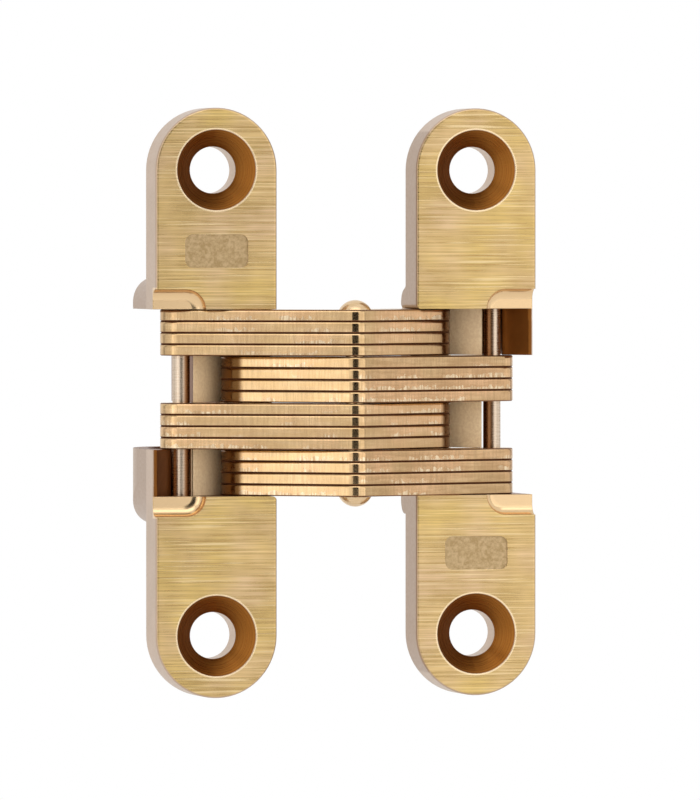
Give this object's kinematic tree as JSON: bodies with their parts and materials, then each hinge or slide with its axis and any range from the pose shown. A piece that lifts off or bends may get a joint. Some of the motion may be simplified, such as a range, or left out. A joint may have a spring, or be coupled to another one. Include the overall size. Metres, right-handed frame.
{
  "type": "invisible hinge",
  "caption": "Invisible hinge, open flat: slim round-ended leaves with countersunk screw holes, joined by laminated scissor links that fold into pockets behind the faces.",
  "frame": {"origin": "middle of the left leaf's two screw holes, on the back of its flange", "axes": "+Z along the pins and the leaves' length, +X from the left leaf to the right leaf, +Y into the mortise, so the faces look along -Y"},
  "size_m": [0.0401, 0.0236, 0.0602],
  "materials": {
    "leaf": "satin brass plate, brushed along the face",
    "link": "brass-plated stamped edges, finely grained",
    "pin": "polished brass plate"
  },
  "bodies": {
    "left_leaf": {"left_leaf": "leaf", "left_pivot_pin": "pin"},
    "link_b": {"link_b_plate_1": "link", "link_b_plate_2": "link", "link_b_plate_3": "link", "link_b_plate_4": "link", "link_b_plate_5": "link", "link_b_plate_6": "link", "link_b_plate_7": "link", "link_b_plate_8": "link", "right_slide_pin": "pin"},
    "link_a": {"link_a_plate_1": "link", "link_a_plate_2": "link", "link_a_plate_3": "link", "link_a_plate_4": "link", "link_a_plate_5": "link", "link_a_plate_6": "link", "link_a_plate_7": "link", "link_a_plate_8": "link", "left_slide_pin": "pin", "centre_rivet": "pin"},
    "right_leaf": {"right_leaf": "leaf", "right_pivot_pin": "pin"}
  },
  "joints": [
    {"name": "left_pivot", "type": "hinge", "parent": "left_leaf", "child": "link_b", "pos_m": [0.00515, 0.00035, 0], "axis": [0, 0, -1], "range_deg": [0, 102.44]},
    {"name": "centre_pivot", "type": "hinge", "parent": "link_b", "child": "link_a", "pos_m": [0.0137, -0.008, 0], "axis": [0, 0, -1], "range_deg": [-24.9, 0]},
    {"name": "right_pivot", "type": "hinge", "parent": "link_a", "child": "right_leaf", "pos_m": [0.02225, 0.00035, 0], "axis": [0, 0, -1], "range_deg": [0, 102.44]}
  ],
  "couplings": [
    {"joint": "centre_pivot", "follows": "left_pivot", "ratio": -0.24293},
    {"joint": "right_pivot", "follows": "left_pivot", "ratio": 1}
  ]
}
